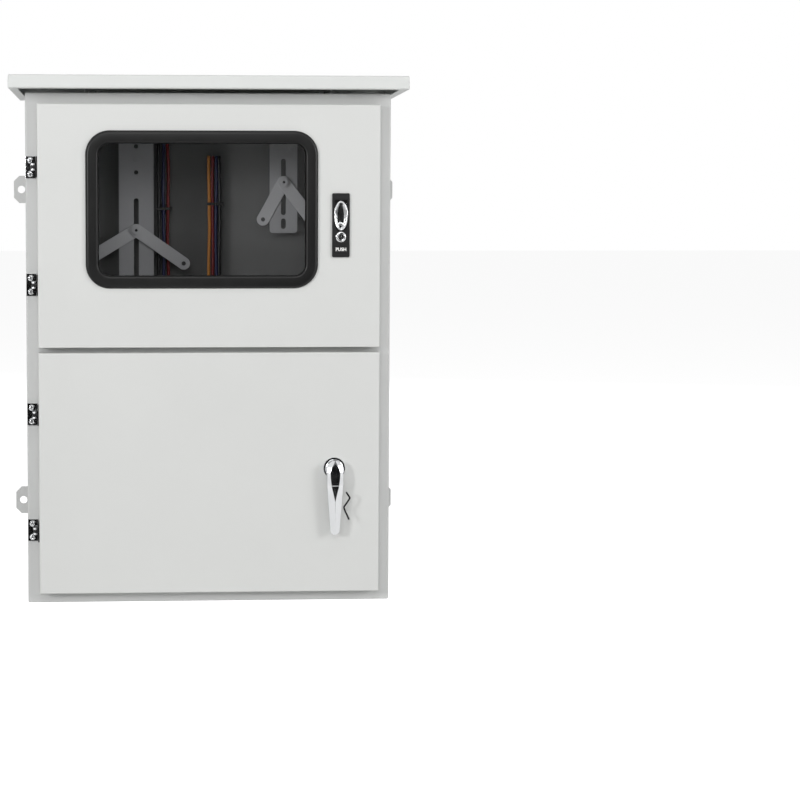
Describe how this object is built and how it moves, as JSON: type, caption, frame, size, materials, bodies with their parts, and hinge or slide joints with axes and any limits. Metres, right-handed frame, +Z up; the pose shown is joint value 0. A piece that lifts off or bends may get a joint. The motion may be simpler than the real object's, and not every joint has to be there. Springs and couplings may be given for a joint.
{
  "type": "photovoltaic combiner box",
  "caption": "Wall-hung sheet-metal box with a rain hood, a windowed meter door and a plain switch door, for joining and metering solar power.",
  "frame": {"origin": "centre of the wall-ear hole pattern, on the wall plane at the back of the ears", "axes": "+Z up, +X to the right of a viewer who faces the doors, +Y towards the wall, so the doors look along -Y"},
  "size_m": [0.56, 0.243, 0.735],
  "materials": {
    "grey_coat": "smooth pale grey powder coat",
    "zinc_sheet": "zinc-plated",
    "dark_coat": "dark grey coat",
    "strip_coat": "mid grey coat",
    "dark_steel": "dull",
    "chrome": "bright plated",
    "black_rubber": "matt",
    "foam": "closed-cell foam",
    "smoked_glass": "smoked, clear",
    "black_cast": "black satin coat",
    "black_plastic": "satin",
    "dark_wire": "dark tie wire",
    "yellow_insulation": "wire insulation",
    "red_insulation": "wire insulation",
    "blue_insulation": "wire insulation",
    "black_insulation": "wire insulation",
    "nylon": "black nylon",
    "case_plastic": "moulded",
    "module_plastic": "moulded",
    "brass": "plain",
    "insulator": "moulded insulator"
  },
  "bodies": {
    "cabinet": {"cabinet_shell": "grey_coat", "wall_ears": "grey_coat", "rain_hood": "grey_coat", "hood_brackets": "grey_coat", "divider_shelf": "zinc_sheet", "gland_plate": "zinc_sheet", "mounting_rail": "zinc_sheet", "panel_posts": "zinc_sheet", "panel_nuts": "zinc_sheet", "strip_posts": "zinc_sheet", "hex_screws": "zinc_sheet", "hood_bolts": "zinc_sheet", "mounting_panels": "dark_coat", "left_strip": "strip_coat", "right_strip": "strip_coat", "hinge_frame_leaves": "chrome", "hinge_screws": "chrome", "hinge_pins": "chrome", "shelf_grommets": "black_rubber", "cable_grommets": "black_rubber", "gland_gasket": "black_rubber", "yellow_wire": "yellow_insulation", "red_wires": "red_insulation", "blue_wires": "blue_insulation", "black_wires": "black_insulation", "cable_ties": "nylon", "tie_saddles": "nylon", "switch_cases": "case_plastic", "surge_base": "case_plastic", "surge_modules": "module_plastic", "terminal_bars": "brass", "bar_posts": "insulator"},
    "upper_door": {"upper_door_panel": "grey_coat", "upper_door_gasket": "foam", "window_seal": "black_rubber", "window_pane": "smoked_glass", "upper_hinge_leaves": "chrome", "flush_lock_case": "black_cast", "paddle_pin": "chrome"},
    "paddle": {"lock_paddle": "chrome"},
    "key_cylinder": {"lock_cylinder": "chrome", "lock_cam": "zinc_sheet"},
    "push_button": {"lock_button": "black_plastic"},
    "lower_door": {"lower_door_panel": "grey_coat", "lower_door_gasket": "foam", "lower_hinge_leaves": "chrome", "handle_rose": "chrome", "rose_nut": "zinc_sheet"},
    "lever": {"lever_handle": "chrome", "lever_cam": "zinc_sheet", "tie_wire": "dark_wire"},
    "left_pivot": {"left_pivot_bolt": "dark_steel"},
    "left_rear": {"left_rear_arm": "strip_coat"},
    "left_front": {"left_front_arm": "strip_coat"},
    "right_pivot": {"right_pivot_bolt": "dark_steel"},
    "right_rear": {"right_rear_arm": "strip_coat"},
    "right_front": {"right_front_arm": "strip_coat"},
    "isolator_switch": {"isolator_toggle": "black_plastic"},
    "breaker_switch": {"breaker_toggle": "black_plastic"}
  },
  "joints": [
    {"name": "upper_door_swing", "type": "hinge", "parent": "cabinet", "child": "upper_door", "pos_m": [-0.2385, -0.214, 0.17575], "axis": [0, 0, -1], "range_deg": [0, 120]},
    {"name": "lower_door_swing", "type": "hinge", "parent": "cabinet", "child": "lower_door", "pos_m": [-0.2385, -0.214, -0.16175], "axis": [0, 0, -1], "range_deg": [0, 120]},
    {"name": "paddle_flip", "type": "hinge", "parent": "upper_door", "child": "paddle", "pos_m": [0.179, -0.226, 0.206], "axis": [-1, 0, 0], "range_deg": [0, 75]},
    {"name": "key_turn", "type": "hinge", "parent": "upper_door", "child": "key_cylinder", "pos_m": [0.179, -0.215, 0.161], "axis": [0, -1, 0], "range_deg": [0, 90]},
    {"name": "button_press", "type": "slide", "parent": "upper_door", "child": "push_button", "axis": [0, 1, 0], "range_m": [0, 0.0015], "stiffness_N_per_m": 300},
    {"name": "lever_turn", "type": "hinge", "parent": "lower_door", "child": "lever", "pos_m": [0.171, -0.22, -0.156], "axis": [0, 1, 0], "range_deg": [0, 90]},
    {"name": "left_pivot_slide", "type": "slide", "parent": "cabinet", "child": "left_pivot", "axis": [0, 0, 1], "range_m": [-0.079, 0.042]},
    {"name": "left_rear_arm_swing", "type": "hinge", "parent": "left_pivot", "child": "left_rear", "pos_m": [-0.1, -0.0786, 0.17], "axis": [0, 1, 0], "range_deg": [-10, 60]},
    {"name": "left_front_arm_swing", "type": "hinge", "parent": "left_pivot", "child": "left_front", "pos_m": [-0.1, -0.0786, 0.17], "axis": [0, -1, 0], "range_deg": [-10, 60]},
    {"name": "right_pivot_slide", "type": "slide", "parent": "cabinet", "child": "right_pivot", "axis": [0, 0, 1], "range_m": [-0.043, 0.03]},
    {"name": "right_rear_arm_swing", "type": "hinge", "parent": "right_pivot", "child": "right_rear", "pos_m": [0.112, -0.0786, 0.239], "axis": [0, 1, 0], "range_deg": [-25, 60]},
    {"name": "right_front_arm_swing", "type": "hinge", "parent": "right_pivot", "child": "right_front", "pos_m": [0.112, -0.0786, 0.239], "axis": [0, -1, 0], "range_deg": [-25, 60]},
    {"name": "isolator_toggle_turn", "type": "hinge", "parent": "cabinet", "child": "isolator_switch", "pos_m": [-0.095, -0.123, -0.138], "axis": [1, 0, 0], "range_deg": [0, 70]},
    {"name": "breaker_toggle_turn", "type": "hinge", "parent": "cabinet", "child": "breaker_switch", "pos_m": [0.012, -0.123, -0.138], "axis": [1, 0, 0], "range_deg": [0, 70]}
  ]
}
